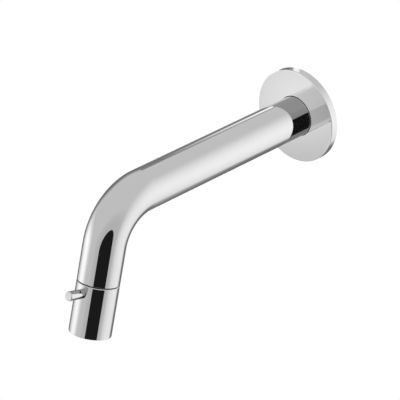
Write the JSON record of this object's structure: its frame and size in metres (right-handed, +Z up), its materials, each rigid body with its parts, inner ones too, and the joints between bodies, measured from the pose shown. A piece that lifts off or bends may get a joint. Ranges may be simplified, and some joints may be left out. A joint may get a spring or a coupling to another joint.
{
  "type": "wall-mounted basin tap",
  "caption": "Chromed bent-tube basin tap on a round wall rosette, with a turning outlet sleeve and pin lever that works a quarter-turn ceramic valve in its end.",
  "frame": {"origin": "where the axis of the spout meets the finished wall", "axes": "+Y into the wall along the supply thread, -Y the way the spout stands out, +Z up, +X to the right seen from the front"},
  "size_m": [0.056, 0.206, 0.1032],
  "materials": {
    "chrome": "polished chrome plate on brass",
    "brass": "machined, bare",
    "steel": "stainless, as turned",
    "rubber": "moulded, matt black",
    "gasket_foam": "closed-cell foam, dark grey",
    "ceramic": "lapped white ceramic, opaque",
    "black_plastic": "moulded black, satin",
    "white_plastic": "moulded white, satin",
    "grey_plastic": "moulded grey, satin"
  },
  "bodies": {
    "spout": {"wall_nipple": "brass", "nipple_o_rings": "rubber", "spout_tube": "chrome", "grub_screw": "steel", "rosette": "chrome", "rosette_o_ring": "rubber", "rosette_gasket": "gasket_foam", "valve_carrier": "brass", "cartridge_housing": "brass", "housing_o_ring": "rubber", "seat_ring": "rubber", "fixed_disc": "ceramic", "thrust_washer": "white_plastic", "slide_ring": "black_plastic"},
    "outlet": {"turning_disc": "ceramic", "spindle": "brass", "spindle_o_rings": "rubber", "outlet_sleeve": "chrome", "lever_stud": "steel", "pin_lever": "chrome", "aerator_housing": "grey_plastic", "aerator_seal": "rubber", "aerator_strainer": "white_plastic", "flow_regulator": "grey_plastic", "aerator_grid": "white_plastic"}
  },
  "joints": [
    {"name": "outlet_turn", "type": "hinge", "parent": "spout", "child": "outlet", "pos_m": [0, -0.17368, -0.07235], "axis": [0, -0.2419, -0.9703], "range_deg": [0, 90]}
  ]
}
